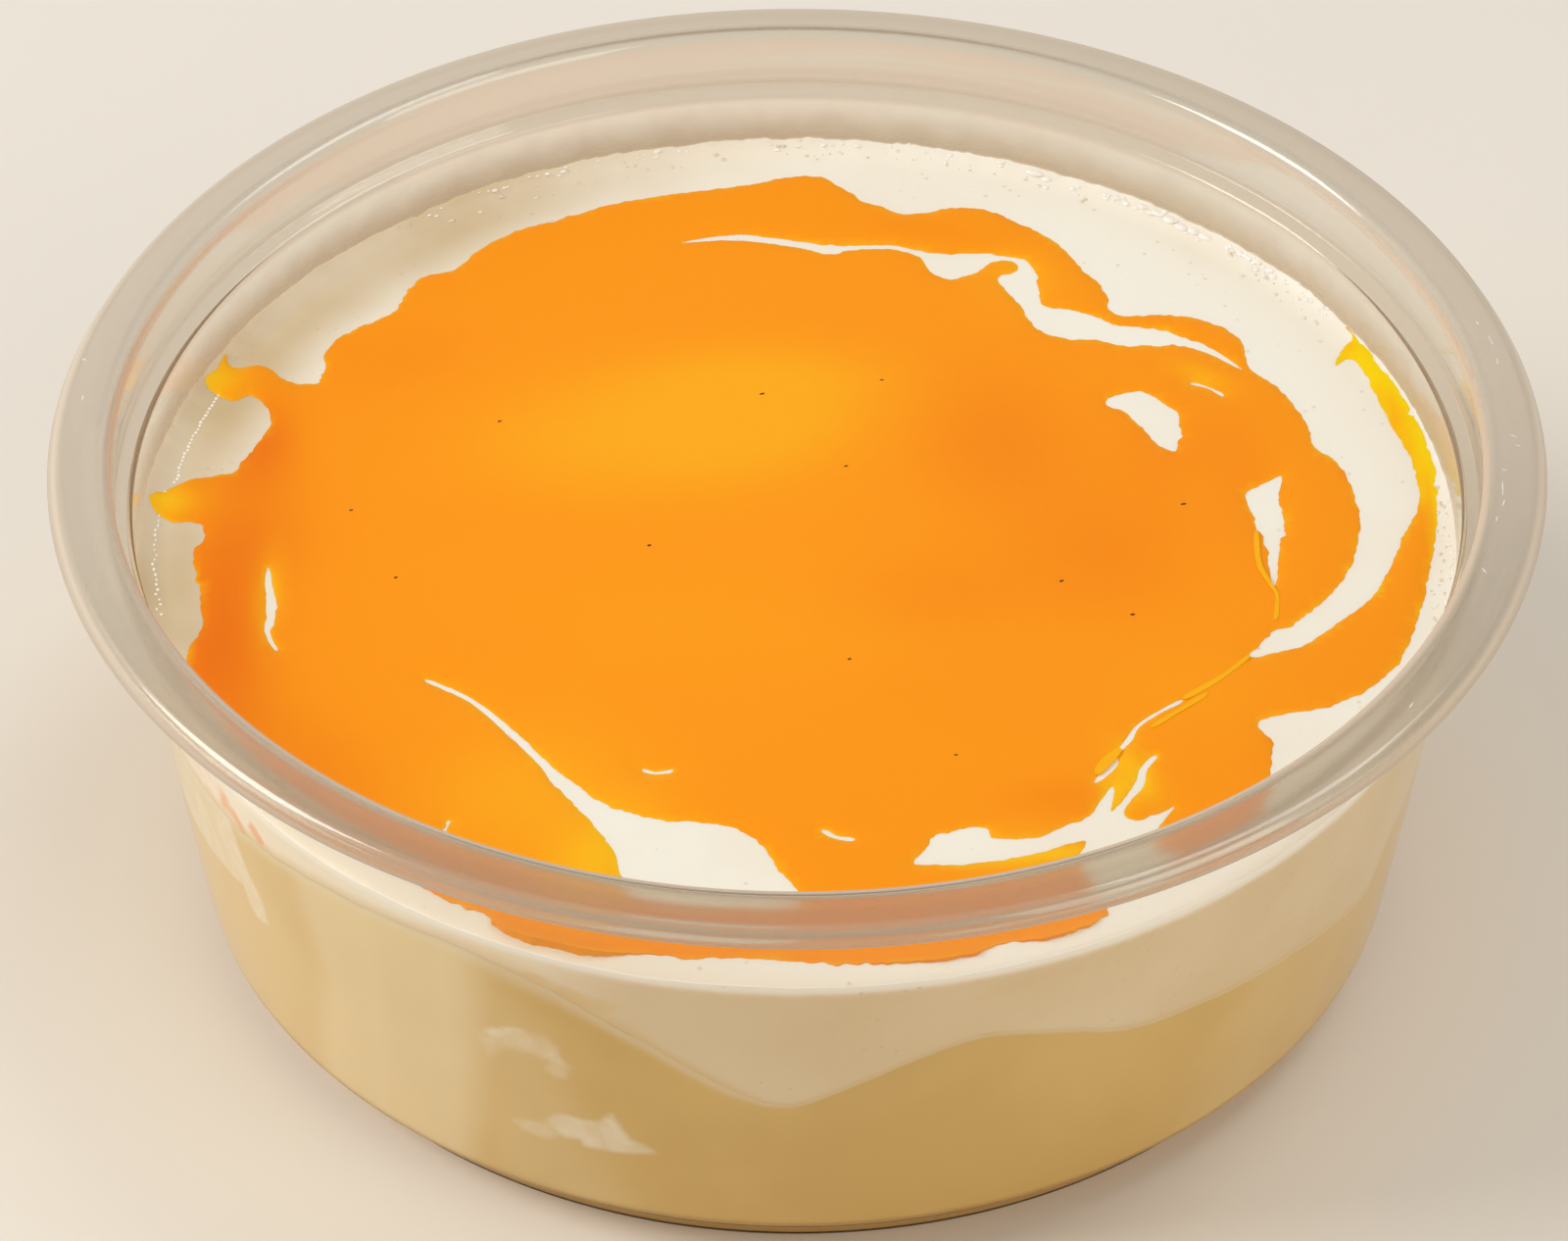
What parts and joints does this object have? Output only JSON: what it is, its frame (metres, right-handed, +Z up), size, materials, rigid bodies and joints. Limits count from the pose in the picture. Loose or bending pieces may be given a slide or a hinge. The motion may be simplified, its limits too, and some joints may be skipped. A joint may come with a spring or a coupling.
{
  "type": "layered custard dessert in a clear tub",
  "caption": "Set custard under a layer of white cream with a pool of orange fruit sauce, in a round open clear plastic tub",
  "frame": {"origin": "centre of the tub's base, on the surface it stands on", "axes": "+Z up along the tub's axis; -Y is the side that shows the layers best; +X is to the right of that side"},
  "size_m": [0.117, 0.117, 0.0437],
  "materials": {
    "clear plastic": "thin clear moulded plastic, gloss",
    "custard": "set custard, soft satin",
    "cream": "set cream, soft satin",
    "fruit sauce": "smooth wet fruit sauce, gloss"
  },
  "bodies": {
    "root": {"tub": "clear plastic", "custard": "custard", "cream": "cream", "sauce": "fruit sauce"}
  },
  "joints": []
}
